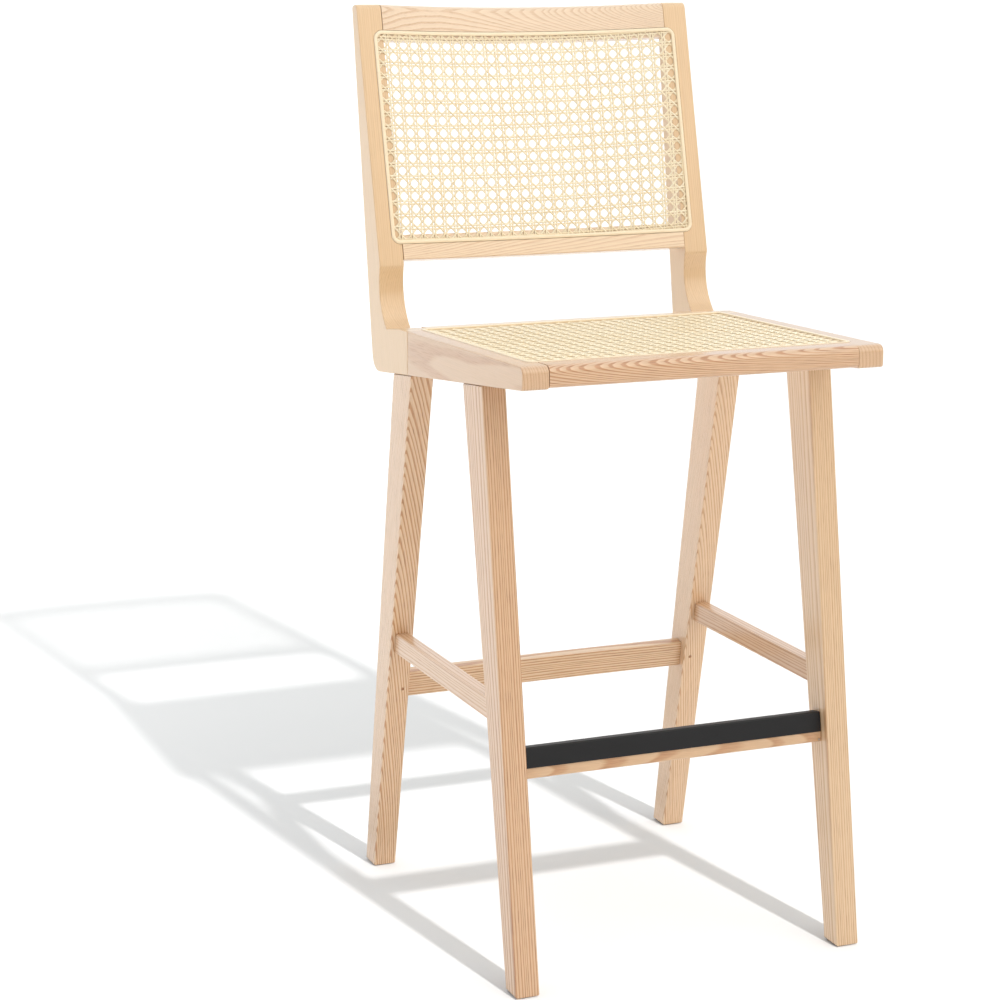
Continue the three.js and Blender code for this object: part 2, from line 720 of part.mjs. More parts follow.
BLOCKS.forEach(([name, ...place], i) => {
  add(name, cut(cornerBlock(...place), blockScrewHole(BLOCK_FEET[i])), MATERIALS.plywood);
  add(name.replace('corner_block', 'block_screw'), blockScrew(BLOCK_FEET[i]), MATERIALS.zinc);
});

for (const [name, side] of SIDES) {
  for (const which of ['front', 'rear']) {
    add(`glide_${which}_${name}`, glide(which, side), MATERIALS.plastic);
    legDowels(which, side).forEach((ends, i) => {
      add(`leg_dowel_${which}_${name}_${i + 1}`, rod(...ends, LEG_DOWEL.radius));
    });
  }
  seamDowels(side).forEach((ends, i) => {
    add(`seam_dowel_${name}_${i + 1}`, rod(...ends, SEAM_DOWEL.radius));
  });
  frontRailDowels(side).forEach((ends, i) => {
    add(`front_rail_dowel_${name}_${i + 1}`, rod(...ends, RAIL_DOWEL.radius));
  });
  add(`rung_pin_${name}`, rod(...rungPin(side), RUNG_PIN.radius));
  add(`brad_${name}`, rod(...brad(side), BRAD.radius), MATERIALS.zinc);
}
PLATE_SCREWS_X.forEach((x, i) => {
  add(`plate_screw_${i + 1}`, plateScrew(x), MATERIALS.steel);
});

// The depth runs from the front of the seat to the middle of the bowed top rail.
const bounds = new THREE.Box3().setFromObject(stool);
stool.position.y = -(bounds.min.y + bounds.max.y) / 2;

export default stool;
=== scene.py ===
import math

import bmesh
import bpy
import numpy as np
from mathutils import Matrix, Vector


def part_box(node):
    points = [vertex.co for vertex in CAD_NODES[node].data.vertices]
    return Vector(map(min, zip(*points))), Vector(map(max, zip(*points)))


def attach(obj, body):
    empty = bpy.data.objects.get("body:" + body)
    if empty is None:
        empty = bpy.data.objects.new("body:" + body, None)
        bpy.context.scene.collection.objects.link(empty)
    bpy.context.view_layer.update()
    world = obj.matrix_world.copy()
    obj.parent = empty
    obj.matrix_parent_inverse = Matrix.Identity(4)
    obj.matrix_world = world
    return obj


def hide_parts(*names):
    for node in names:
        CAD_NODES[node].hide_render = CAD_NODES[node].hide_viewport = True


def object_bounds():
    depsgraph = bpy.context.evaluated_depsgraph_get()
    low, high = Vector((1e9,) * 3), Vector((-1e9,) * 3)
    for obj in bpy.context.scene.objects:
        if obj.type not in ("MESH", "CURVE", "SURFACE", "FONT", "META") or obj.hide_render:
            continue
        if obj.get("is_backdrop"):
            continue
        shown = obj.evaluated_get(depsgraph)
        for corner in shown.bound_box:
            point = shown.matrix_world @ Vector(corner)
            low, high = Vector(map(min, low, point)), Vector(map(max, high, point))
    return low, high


# A bar stool with a footrest. Metres, +Z up; the stool faces -Y and stands on z = 0.
# The wood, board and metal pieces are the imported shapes, welded, softened and shaded smooth.
# The cane and the reed round it are built here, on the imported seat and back.

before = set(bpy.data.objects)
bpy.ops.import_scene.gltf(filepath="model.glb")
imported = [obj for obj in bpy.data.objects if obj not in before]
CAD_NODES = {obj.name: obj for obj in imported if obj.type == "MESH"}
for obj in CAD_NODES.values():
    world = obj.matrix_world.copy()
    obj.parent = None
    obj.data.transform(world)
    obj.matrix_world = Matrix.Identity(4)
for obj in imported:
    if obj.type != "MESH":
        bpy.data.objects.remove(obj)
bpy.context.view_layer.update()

MM = 0.001

# ------------------------------------------------------------------ sizes shared with the CAD

MIDDLE_Y = 290.298 * MM  # from the front face of the seat back to the origin
SEAT_HEIGHT = 762.2 * MM
SEAT_FALL = 0.0303
RAIL_IN = 201 * MM  # from the middle of the back to its posts
LEAN = math.atan(0.256)
BACK_FOOT_Y = 461.5 * MM - MIDDLE_Y  # where the front of a post starts to lean back
BACK_FOOT_Z = 825.4 * MM
BOW_LOW = 6.9 * MM  # how deep the back is bowed at its foot
BOW_GROWTH = 0.0441  # and how much more for each metre up
# the outline of each groove: half its width, its lower and upper ends, its corner radius
BACK_GROOVE = {"half": 215.3 * MM, "low": 22.8 * MM, "high": 299.3 * MM, "radius": 12 * MM}
SEAT_GROOVE = {"half": 213 * MM, "low": 34 * MM, "high": 379 * MM, "radius": 11 * MM}
GROOVE_WIDTH = 5.6 * MM
BACK_CANE_DEPTH = 0.95 * MM  # from the wood around it down to the middle of the cane
SEAT_CANE_DEPTH = 1.45 * MM


def seat_point(x, y, depth):
    """Points of the seat: x across, y back from its front face, depth down from its top."""
    return np.stack([x, y - MIDDLE_Y, SEAT_HEIGHT - SEAT_FALL * y - depth], axis=-1)


def back_point(x, height, depth):
    """Points of the back: x across, height up along the lean, depth behind its bowed front."""
    across = np.minimum(np.abs(x) / RAIL_IN, 1)
    behind = depth + (BOW_LOW + BOW_GROWTH * height) * (1 - across**2)
    y = BACK_FOOT_Y + height * math.sin(LEAN) + behind * math.cos(LEAN)
    z = BACK_FOOT_Z + height * math.cos(LEAN) - behind * math.sin(LEAN)
    return np.stack([x, y, z], axis=-1)


# ------------------------------------------------------------------ material building


def feed(tree, socket, value):
    """A socket takes a link from another socket, or a constant."""
    if isinstance(value, bpy.types.NodeSocket):
        tree.links.new(value, socket)
    else:
        socket.default_value = value


class Graph:
    """One node material, built with short calls."""

    def __init__(self, name):
        self.material = bpy.data.materials.new(name)
        self.material.use_nodes = True
        self.tree = self.material.node_tree
        self.tree.nodes.clear()
        self.shader = self.node("ShaderNodeBsdfPrincipled")
        output = self.node("ShaderNodeOutputMaterial")
        self.tree.links.new(self.shader.outputs["BSDF"], output.inputs["Surface"])

    def node(self, kind, **settings):
        made = self.tree.nodes.new(kind)
        for key, value in settings.items():
            setattr(made, key, value)
        return made

    def feed(self, socket, value):
        feed(self.tree, socket, value)

    def math(self, operation, a, b=0.0, clamp=False):
        made = self.node("ShaderNodeMath", operation=operation, use_clamp=clamp)
        self.feed(made.inputs[0], a)
        self.feed(made.inputs[1], b)
        return made.outputs[0]

    def mix(self, factor, a, b, blend="MIX"):
        made = self.node("ShaderNodeMix", data_type="RGBA", blend_type=blend)
        self.feed(made.inputs["Factor"], factor)
        self.feed(made.inputs["A"], a)
        self.feed(made.inputs["B"], b)
        return made.outputs["Result"]

    def blend(self, value, low, high):
        """Carries a value from 0..1 to low..high."""
        made = self.node("ShaderNodeMapRange")
        self.feed(made.inputs["Value"], value)
        made.inputs["To Min"].default_value = low
        made.inputs["To Max"].default_value = high
        return made.outputs["Result"]

    def steps(self, value, points):
        """A smooth curve through (position, grey) points."""
        made = self.node("ShaderNodeValToRGB")
        ramp = made.color_ramp
        ramp.interpolation = "EASE"
        while len(ramp.elements) < len(points):
            ramp.elements.new(0.5)
        for element, (position, grey) in zip(ramp.elements, points):
            element.position = position
            element.color = (grey, grey, grey, 1)
        self.feed(made.inputs["Fac"], value)
        return made.outputs["Color"]

    def place(self, axes=None, origin=(0, 0, 0)):
        """The position in the object's frame, turned so that its x, y, z run along axes."""
        coordinates = self.node("ShaderNodeTexCoord").outputs["Object"]
        if axes is None:
            return coordinates
        turn = Matrix(axes).to_3x3()
        mapping = self.node("ShaderNodeMapping", vector_type="POINT")
        self.feed(mapping.inputs["Vector"], coordinates)
        mapping.inputs["Rotation"].default_value = turn.to_euler("XYZ")
        mapping.inputs["Location"].default_value = -(turn @ Vector(origin))
        return mapping.outputs["Vector"]

    def stretch(self, vector, scale):
        made = self.node("ShaderNodeVectorMath", operation="MULTIPLY")
        self.feed(made.inputs[0], vector)
        made.inputs[1].default_value = scale
        return made.outputs["Vector"]

    def along_x(self, value):
        """A vector whose x is the value."""
        made = self.node("ShaderNodeCombineXYZ")
        self.feed(made.inputs["X"], value)
        return made.outputs["Vector"]

    def parts(self, vector):
        """The X, Y and Z of a vector."""
        made = self.node("ShaderNodeSeparateXYZ")
        self.feed(made.inputs[0], vector)
        return made.outputs

    def grey(self, value):
        """A grey of this brightness."""
        made = self.node("ShaderNodeCombineColor")
        for socket in made.inputs:
            self.feed(socket, value)
        return made.outputs["Color"]

    def noise(self, vector, scale=1.0, detail=3.0, roughness=0.5, output="Fac"):
        made = self.node("ShaderNodeTexNoise")
        self.feed(made.inputs["Vector"], vector)
        made.inputs["Scale"].default_value = scale
        made.inputs["Detail"].default_value = detail
        made.inputs["Roughness"].default_value = roughness
        return made.outputs[output]

    def bump(self, height, distance, strength=1.0):
        made = self.node("ShaderNodeBump")
        self.feed(made.inputs["Height"], height)
        made.inputs["Distance"].default_value = distance
        made.inputs["Strength"].default_value = strength
        self.feed(self.shader.inputs["Normal"], made.outputs["Normal"])


def linear(red, green, blue):
    """An sRGB colour, 0 to 255, as a linear one with alpha."""
    def one(c):
        c = c / 255
        return c / 12.92 if c <= 0.04045 else ((c + 0.055) / 1.055) ** 2.4
    return (one(red), one(green), one(blue), 1)


def tinted(colour, tint):
    """A colour times a factor for each of red, green and blue."""
    return (*(c * t for c, t in zip(colour, tint)), 1)


# ------------------------------------------------------------------ wood

PALE_ASH = linear(236, 210, 178)
BROWN_ASH = linear(204, 156, 112)
PORE_TINT = (0.62, 0.52, 0.45)  # the pores, against the brown

# features of the noise in a metre: across the rings, along the rings, along the grain
WANDER_SCALE = (16, 16, 2.6)
PORE_SCALE = (1500, 1500, 34)
FIBRE_SCALE = (700, 700, 9)
CLOUD_SCALE = (22, 22, 4)

# through one ring, from early wood to late wood: how brown it is
RING_CURVE = [(0.0, 0.1), (0.12, 1.0), (0.3, 0.8), (0.5, 0.15), (1.0, 0.0)]
PORE_CURVE = [(0.0, 1.0), (0.36, 1.0), (0.47, 0.0), (1.0, 0.0)]
RING_DRIFT = 1.8  # rings grow wider and narrower, by up to this many rings
RING_DRIFT_SCALE = 0.31


def ash(name, along, rings_across, centre, tone=(1, 1, 1), contrast=1.0, ring=3.3 * MM,
        pith=120 * MM, beside=0.0, tilt=0.0, wave=2.5 * MM):
    """Lacquered ash. Growth rings are cylinders round a pith that runs beside the piece.

    `along` is the grain, and the pith is `pith` away in the direction `rings_across` and
    `beside` to the side of that. A `tilt` of the pith draws arches on the faces, `ring` is the
    width of a ring and `wave` is how far the rings wander. `tone` tints the board.
    """
    g = Graph(name)
    pale = tinted(PALE_ASH, tone)
    brown = tinted(BROWN_ASH, tone)
    grain = Vector(along).normalized()
    radial = Vector(rings_across)
    radial = (radial - grain * radial.dot(grain)).normalized()
    p = g.place([radial, grain.cross(radial), grain], centre)

    x, y, z = g.parts(p)
    bend = g.parts(g.noise(g.stretch(p, WANDER_SCALE), detail=2.0, output="Color"))["X"]
    wander = g.math("MULTIPLY", g.math("SUBTRACT", bend, 0.5), 2 * wave)
    lean = g.math("MULTIPLY", z, tilt)
    away = g.math("ADD", g.math("ADD", x, pith), g.math("ADD", lean, wander))
    aside = g.math("ABSOLUTE", g.math("SUBTRACT", y, beside))
    square = g.math("ADD", g.math("POWER", away, 2.0), g.math("POWER", aside, 2.0))
    radius = g.math("SQRT", square)

    count = g.math("DIVIDE", radius, ring)
    drift = g.noise(g.stretch(g.along_x(count), (RING_DRIFT_SCALE, 0, 0)), detail=1.0)
    count = g.math("ADD", count, g.math("MULTIPLY", drift, RING_DRIFT))
    early = g.steps(g.math("FRACT", count), RING_CURVE)

    pores = g.steps(g.noise(g.stretch(p, PORE_SCALE), detail=1.0), PORE_CURVE)
    pores = g.math("MULTIPLY", pores, g.blend(early, 0.16, 1.0))
    fibre = g.noise(g.stretch(p, FIBRE_SCALE), detail=3.0, roughness=0.6)
    cloud = g.noise(g.stretch(p, CLOUD_SCALE), detail=2.0)

    strength = g.blend(cloud, 0.5 * contrast, 1.3 * contrast)
    colour = g.mix(g.math("MULTIPLY", early, strength, clamp=True), pale, brown)
    pore_depth = g.math("MULTIPLY", pores, 0.55 * contrast)
    colour = g.mix(pore_depth, colour, tinted(brown, PORE_TINT))
    colour = g.mix(1.0, colour, g.grey(g.blend(fibre, 0.90, 1.10)), "MULTIPLY")
    g.feed(g.shader.inputs["Base Color"], colour)

    rough = g.math("ADD", g.math("MULTIPLY", fibre, 0.5), g.math("MULTIPLY", pores, 0.5))
    g.feed(g.shader.inputs["Roughness"], g.blend(rough, 0.40, 0.62))
    g.shader.inputs["Specular IOR Level"].default_value = 0.5
    g.shader.inputs["Coat Weight"].default_value = 1.0
    g.shader.inputs["Coat Roughness"].default_value = 0.22
    relief = g.math("SUBTRACT", g.math("MULTIPLY", fibre, 0.4), pores)
    g.bump(relief, 0.08 * MM, 0.5)
    return g.material


PLY_THICK = 1.8 * MM


def plywood(name):
    """Bare poplar plywood: faint face grain along X and darker glue lines through its depth."""
    g = Graph(name)
    p = g.place()
    grain = g.noise(g.stretch(p, (6, 160, 160)), detail=4.0, roughness=0.6)
    speck = g.noise(g.stretch(p, (60, 900, 900)), detail=2.0)
    _, y, z = g.parts(p)
    level = g.math("ADD", z, g.math("MULTIPLY", y, SEAT_FALL))
    ply = g.math("FRACT", g.math("DIVIDE", level, PLY_THICK))
    glue = g.steps(ply, [(0.0, 1.0), (0.08, 0.0), (0.92, 0.0), (1.0, 1.0)])
    colour = g.mix(grain, linear(252, 238, 210), linear(240, 216, 178))
    colour = g.mix(g.math("MULTIPLY", speck, 0.25), colour, linear(190, 156, 112))
    facing = g.parts(g.node("ShaderNodeNewGeometry").outputs["Normal"])["Z"]
    edge = g.math("SUBTRACT", 1.0, g.math("ABSOLUTE", facing), clamp=True)
    line = g.math("MULTIPLY", glue, g.math("MULTIPLY", edge, 0.5))
    colour = g.mix(line, colour, linear(110, 74, 46))
    g.feed(g.shader.inputs["Base Color"], colour)
    g.feed(g.shader.inputs["Roughness"], g.blend(grain, 0.62, 0.8))
    g.bump(grain, 0.15 * MM, 0.5)
    return g.material


def beech(name):
    """Plain dowel wood with short dark flecks."""
    g = Graph(name)
    p = g.place()
    grain = g.noise(g.stretch(p, (500, 500, 500)), detail=3.0)
    colour = g.mix(grain, linear(190, 140, 98), linear(128, 84, 54))
    g.feed(g.shader.inputs["Base Color"], colour)
    g.feed(g.shader.inputs["Roughness"], g.blend(grain, 0.5, 0.7))
    g.bump(grain, 0.1 * MM, 0.4)
    return g.material


# ------------------------------------------------------------------ cane, metal, plastic


def cane(name, light, dark):
    """Split cane: a glossy skin with fine lengthwise fibres, each strand its own shade, its edges
    darkened by painted shade.
    """
    g = Graph(name)
    p = g.place()
    strand = g.node("ShaderNodeAttribute", attribute_name="shade").outputs["Fac"]
    edge = g.node("ShaderNodeAttribute", attribute_name="edge").outputs["Fac"]
    mottle = g.noise(g.stretch(p, (90, 90, 90)), detail=3.0, roughness=0.6)
    fleck = g.noise(g.stretch(p, (700, 700, 700)), detail=2.0)
    tone = g.math("ADD", g.math("MULTIPLY", strand, 0.55), g.math("MULTIPLY", mottle, 0.45))
    colour = g.mix(tone, light, dark)
    # painted shade: each strand's sides and underside darken towards this colour by their edge
    # value; the real flecks use it too
    fleck_and_edge_shade = tinted(dark, (0.72, 0.62, 0.5))
    colour = g.mix(g.math("MULTIPLY", edge, 0.3), colour, fleck_and_edge_shade)
    spots = g.steps(fleck, [(0.0, 0.0), (0.62, 0.0), (0.75, 0.7), (1.0, 1.0)])
    colour = g.mix(g.math("MULTIPLY", spots, 0.4), colour, fleck_and_edge_shade)
    g.feed(g.shader.inputs["Base Color"], colour)
    g.feed(g.shader.inputs["Roughness"], g.blend(mottle, 0.32, 0.5))
    g.shader.inputs["Coat Weight"].default_value = 0.4
    g.shader.inputs["Coat Roughness"].default_value = 0.25
    g.bump(fleck, 0.05 * MM, 0.4)
    return g.material


def powder_coat(name):
    """Black powder coat: satin, with a fine orange-peel surface."""
    g = Graph(name)
    p = g.place()
    peel = g.noise(p, scale=1400, detail=2.0)
    dust = g.noise(g.stretch(p, (14, 60, 60)), detail=4.0, roughness=0.65)
    g.feed(g.shader.inputs["Base Color"], g.mix(dust, linear(13, 13, 15), linear(24, 24, 27)))
    g.feed(g.shader.inputs["Roughness"], g.blend(dust, 0.45, 0.6))
    g.shader.inputs["Specular IOR Level"].default_value = 0.35
    g.bump(peel, 0.05 * MM, 0.5)
    return g.material


def zinc(name):
    """Zinc-plated steel with a slight yellow cast and brushed wear."""
    g = Graph(name)
    p = g.place()
    wear = g.noise(p, scale=900, detail=3.0)
    g.feed(g.shader.inputs["Base Color"], g.mix(wear, linear(200, 198, 190), linear(160, 156, 148)))
    g.feed(g.shader.inputs["Roughness"], g.blend(wear, 0.28, 0.5))
    g.shader.inputs["Metallic"].default_value = 1.0
    g.bump(wear, 0.04 * MM, 0.4)
    return g.material


def moulded_plastic(name):
    """Dark moulded plastic with a fine spark-eroded grain and scuffs."""
    g = Graph(name)
    p = g.place()
    grain = g.noise(p, scale=2600, detail=2.0)
    scuff = g.noise(p, scale=260, detail=3.0)
    g.feed(g.shader.inputs["Base Color"], g.mix(scuff, linear(40, 36, 33), linear(74, 66, 60)))
    g.feed(g.shader.inputs["Roughness"], g.blend(scuff, 0.5, 0.75))
    g.bump(grain, 0.06 * MM, 0.6)
    return g.material


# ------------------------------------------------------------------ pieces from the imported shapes

SHARP_ANGLE = math.radians(40)
FLAT_ANGLE = math.radians(0.6)
WELD_DISTANCE = 0.004 * MM


def welded(node, material):
    """A smooth-shaded copy of a CAD node's shape, which stands for the node."""
    bm = bmesh.new()
    bm.from_mesh(CAD_NODES[node].data)
    bmesh.ops.remove_doubles(bm, verts=bm.verts, dist=WELD_DISTANCE)
    bmesh.ops.dissolve_limit(bm, angle_limit=FLAT_ANGLE, verts=bm.verts, edges=bm.edges,
                             delimit={"NORMAL"})
    for face in bm.faces:
        face.smooth = True
    for edge in bm.edges:
        edge.smooth = edge.is_manifold and edge.calc_face_angle(0) < SHARP_ANGLE
    mesh = bpy.data.meshes.new(node + "_piece")
    bm.to_mesh(mesh)
    bm.free()
    piece = bpy.data.objects.new(node + "_piece", mesh)
    bpy.context.scene.collection.objects.link(piece)
    mesh.materials.append(material)
    shading = piece.modifiers.new("even_normals", "WEIGHTED_NORMAL")
    shading.keep_sharp = True
    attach(piece, "root")
    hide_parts(node)
    return piece


def new_piece(name, vertices, faces, material, node):
    """A smooth-shaded piece built here from vertices and faces; it stands for a CAD node."""
    mesh = bpy.data.meshes.new(name)
    mesh.from_pydata([tuple(v) for v in vertices], [], [tuple(f) for f in faces])
    mesh.validate()
    mesh.polygons.foreach_set("use_smooth", [True] * len(mesh.polygons))
    mesh.materials.append(material)
    piece = bpy.data.objects.new(name, mesh)
    bpy.context.scene.collection.objects.link(piece)
    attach(piece, "root")
    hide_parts(node)
    return piece


def set_attribute(piece, label, values):
    """One number for each vertex, which the cane material reads."""
    layer = piece.data.attributes.new(label, "FLOAT", "POINT")
    layer.data.foreach_set("value", values.astype(np.float32))


def tube_faces(rings, closed=False):
    """Quads along a tube. Each row of rings holds the vertices round it; closed joins the ends."""
    if closed:
        here, ahead = rings, np.roll(rings, -1, axis=0)
    else:
        here, ahead = rings[:-1], rings[1:]
    quads = [here, ahead, np.roll(ahead, -1, axis=1), np.roll(here, -1, axis=1)]
    return np.stack(quads, axis=-1).reshape(-1, 4)


# ------------------------------------------------------------------ woven cane

STRAND_HALF = 1.15 * MM
DIAGONAL_HALF = 1.08 * MM
STRAND_THICK = 0.42 * MM
WIDTH_SPREAD = (0.93, 1.07)  # strands aren't all equally wide
# round a strand: half widths across, thicknesses up, how much painted shade darkens it there
STRAND_PROFILE = [(-1, -0.5, 0.35), (1, -0.5, 0.35), (0.7, 0.5, 0.0), (-0.7, 0.5, 0.0)]

PAIR_HALF = 1.75 * MM  # from the middle of a pair to the middle of either strand
PAIR_LIFT = STRAND_THICK * 0.55
DIAGONAL_LIFT = STRAND_THICK * 1.05
PAIR_STEPS = 7  # cuts along a strand in one pitch
DIAGONAL_STEPS = 6

UNDER_REED = 1.6 * MM  # how far a strand's end goes in under the reed
TUCK_LENGTH = UNDER_REED * 1.6  # the stretch in which it goes down to there
TUCK_DEPTH = 0.5 * MM

# enough strands and length for either frame; what lies outside it isn't made
COLUMNS = range(-20, 21)
ROWS = range(-3, 32)
DIAGONALS = range(-40, 60)
LONGEST = 0.8
CHORD_CUTS = 6401
FEWEST_CUTS = 8  # a chord shorter than this many cuts is left out
WEB_SEED = 7


def inside(groove, inset, u, v):
    """Which points (u, v) lie in the groove's rounded rectangle, made smaller by inset."""
    half = groove["half"] - inset
    low = groove["low"] + inset
    high = groove["high"] - inset
    radius = groove["radius"] - inset
    du = np.maximum(np.abs(u) - (half - radius), 0)
    middle = (low + high) / 2
    dv = np.maximum(np.abs(v - middle) - ((high - low) / 2 - radius), 0)
    return du**2 + dv**2 <= radius**2


def pair_lift(start, pitch, height):
    """The lift of one strand of a pair, at the two strands of each pair that it crosses.

    It goes by +height at the second of them and by -height at the first.
    """
    def lift(t):
        phase = (t - start) / pitch - 0.5
        near = (phase - np.round(phase)) * pitch / PAIR_HALF
        wave = near * np.exp(0.5 - 0.5 * near**2)
        return height * wave
    return lift


def diagonal_lift(sign):
    """A diagonal goes over one pair and under the next."""
    def lift(t):
        return -sign * DIAGONAL_LIFT * np.cos(2 * math.pi * t)
    return lift


class Web:
    """Collects the strands of one panel of cane webbing."""

    def __init__(self, surface, groove, depth, pitch, phase, lean=0.0, bow=0.0, tilt=0.0, sag=0.0):
        self.surface = surface
        self.groove = groove
        self.depth = depth
        self.pitch = pitch
        self.phase = phase
        self.columns = (lean, bow)
        self.rows = (tilt, sag)
        self.rng = np.random.default_rng(WEB_SEED)
        self.vertices = []
        self.faces = []
        self.shade = []
        self.edge = []
        self.count = 0

    def pull(self, u, v):
        """Where a point of the square web ended up when the web was stretched into its frame."""
        lean, bow = self.columns
        tilt, sag = self.rows
        return u + lean * v + bow * v**2, v + tilt * u + sag * u**2

    def chord(self, start, direction):
        """The part of a line of the web that lies in its frame, as two distances."""
        reach = LONGEST / math.hypot(*direction)
        t = np.linspace(-reach, reach, CHORD_CUTS)
        u, v = self.pull(start[0] + direction[0] * t, start[1] + direction[1] * t)
        kept = t[inside(self.groove, GROOVE_WIDTH - UNDER_REED, u, v)]
        return (kept[0], kept[-1]) if len(kept) > FEWEST_CUTS else None

    def strand(self, start, direction, half, lift, step):
        """One strand along a straight line of the web; lift(t) is its height in the weave."""
        span = self.chord(start, direction)
        if span is None:
            return
        first, last = span
        t = np.arange(math.ceil(first / step), math.floor(last / step) + 1) * step
        t = np.concatenate([[first], t[(t > first + step / 4) & (t < last - step / 4)], [last]])
        length = math.hypot(*direction)
        to_end = np.minimum(t - first, last - t) * length
        tuck = np.clip(1 - to_end / TUCK_LENGTH, 0, 1)
        rise = lift(t) * (1 - tuck) - TUCK_DEPTH * tuck
        u = start[0] + direction[0] * t
        v = start[1] + direction[1] * t
        side_u, side_v = direction[1] / length, -direction[0] / length
        half = half * self.rng.uniform(*WIDTH_SPREAD)
        rings = []
        for across, up, _ in STRAND_PROFILE:
            x = u + side_u * half * across
            y = v + side_v * half * across
            depth = self.depth - (rise + up * STRAND_THICK)
            rings.append(self.surface(*self.pull(x, y), depth))
        rings = np.stack(rings, axis=1)
        n, m = rings.shape[:2]
        index = self.count + np.arange(n * m).reshape(n, m)
        self.vertices.append(rings.reshape(-1, 3))
        self.faces.extend(map(tuple, tube_faces(index)))
        self.faces.append(tuple(index[0]))
        self.faces.append(tuple(index[-1][::-1]))
        self.shade.append(np.full(n * m, self.rng.uniform(0, 1)))
        # painted shade on each strand's sides and underside, as the edge value of each vertex
        self.edge.append(np.tile([edge for _, _, edge in STRAND_PROFILE], n))
        self.count += n * m

    def weave(self):
        """Pairs up and across, woven plain where they cross, and diagonals over and under them."""
        pitch_u, pitch_v = self.pitch
        u0, v0 = self.phase
        for i in COLUMNS:
            for side in (-1, 1):
                u = u0 + (i + 0.5) * pitch_u + side * PAIR_HALF
                lift = pair_lift(v0, pitch_v, side * PAIR_LIFT)
                self.strand((u, 0), (0, 1), STRAND_HALF, lift, pitch_v / PAIR_STEPS)
        for j in ROWS:
            for side in (-1, 1):
                v = v0 + (j + 0.5) * pitch_v + side * PAIR_HALF
                lift = pair_lift(u0, pitch_u, -side * PAIR_LIFT)
                self.strand((0, v), (1, 0), STRAND_HALF, lift, pitch_u / PAIR_STEPS)
        for sign in (1, -1):
            for k in DIAGONALS:
                # it passes between the holes, and crosses each pair half-way between two nodes
                start = (u0, v0 + (k + 0.5) * pitch_v)
                direction = (pitch_u, sign * pitch_v)
                lift = diagonal_lift(sign)
                self.strand(start, direction, DIAGONAL_HALF, lift, 1 / DIAGONAL_STEPS)

    def piece(self, name, node, material):
        self.weave()
        made = new_piece(name, np.concatenate(self.vertices), self.faces, material, node)
        set_attribute(made, "shade", np.concatenate(self.shade))
        set_attribute(made, "edge", np.concatenate(self.edge))


REED_HALF = (GROOVE_WIDTH - 0.7 * MM) / 2
REED_IN = GROOVE_WIDTH / 2 + 0.15 * MM  # from the groove's outer wall to the reed's middle
REED_EDGE = 0.15 * MM  # how far its edges stand out of the wood
REED_CROWN = 0.95 * MM  # and its crown above them
REED_ROOT = 3.0 * MM  # how far it goes down into the groove
REED_STEP = 6 * MM
REED_SHADE = 0.3


def reed_path(groove):
    """Points along the middle of the reed, each with the direction outward from the panel."""
    half = groove["half"] - REED_IN
    low = groove["low"] + REED_IN
    high = groove["high"] - REED_IN
    radius = groove["radius"] - REED_IN
    path = []
    for x, y, start in [(half, low, -90), (half, high, 0), (-half, high, 90), (-half, low, 180)]:
        middle_x = x - math.copysign(radius, x)
        middle_y = y + radius if y == low else y - radius
        for k in range(13):
            angle = math.radians(start + 90 * k / 12)
            out_x, out_y = math.cos(angle), math.sin(angle)
            path.append((middle_x + radius * out_x, middle_y + radius * out_y, out_x, out_y))
    dense = []
    for a, b in zip(path, path[1:] + path[:1]):
        parts = max(1, round(math.hypot(b[0] - a[0], b[1] - a[1]) / REED_STEP))
        for k in range(parts):
            dense.append([a[i] + (b[i] - a[i]) * k / parts for i in range(4)])
    return np.array(dense).T


def reed(name, node, surface, groove, material):
    """The round-topped reed pressed into the groove, as one closed loop."""
    profile = [(-REED_HALF, -REED_ROOT), (REED_HALF, -REED_ROOT)]
    for k in range(9):
        angle = math.pi * k / 8
        profile.append((REED_HALF * math.cos(angle), REED_EDGE + REED_CROWN * math.sin(angle)))
    x, y, out_x, out_y = reed_path(groove)
    rings = []
    for across, up in profile:
        rings.append(surface(x + out_x * across, y + out_y * across, np.full(len(x), -up)))
    rings = np.stack(rings, axis=1)
    n, m = rings.shape[:2]
    faces = tube_faces(np.arange(n * m).reshape(n, m), closed=True)
    made = new_piece(name, rings.reshape(-1, 3), faces, material, node)
    set_attribute(made, "shade", np.full(n * m, REED_SHADE))
    set_attribute(made, "edge", np.zeros(n * m))


# ------------------------------------------------------------------ build

# the seat cane's colours are paler than the back's: painted sheen and top light on the seat
BACK_CANE = cane("back_cane", linear(247, 236, 210), linear(235, 212, 172))
SEAT_CANE = cane("seat_cane", linear(255, 244, 218), linear(246, 223, 181))
REED = cane("natural_reed", linear(248, 232, 202), linear(236, 211, 174))

# from hole to hole, and where one hole is; the back's web leans and sags as it was stretched
BACK_PITCH, BACK_PHASE = (15.78 * MM, 16.33 * MM), (-6.0 * MM, 2.7 * MM)
SEAT_PITCH, SEAT_PHASE = (15.9 * MM, 15.9 * MM), (0.0, 6 * MM)

web = Web(back_point, BACK_GROOVE, BACK_CANE_DEPTH, BACK_PITCH, BACK_PHASE,
          lean=0.045, bow=-0.075, tilt=0.0136, sag=0.077)
web.piece("back_cane_weave", "back_cane_panel", BACK_CANE)
web = Web(seat_point, SEAT_GROOVE, SEAT_CANE_DEPTH, SEAT_PITCH, SEAT_PHASE)
web.piece("seat_cane_weave", "seat_cane_panel", SEAT_CANE)
reed("back_reed", "back_cane_spline", back_point, BACK_GROOVE, REED)
reed("seat_reed", "seat_cane_spline", seat_point, SEAT_GROOVE, REED)

X, Y, Z = (1, 0, 0), (0, 1, 0), (0, 0, 1)
BACK_UP = (0, math.sin(LEAN), math.cos(LEAN))

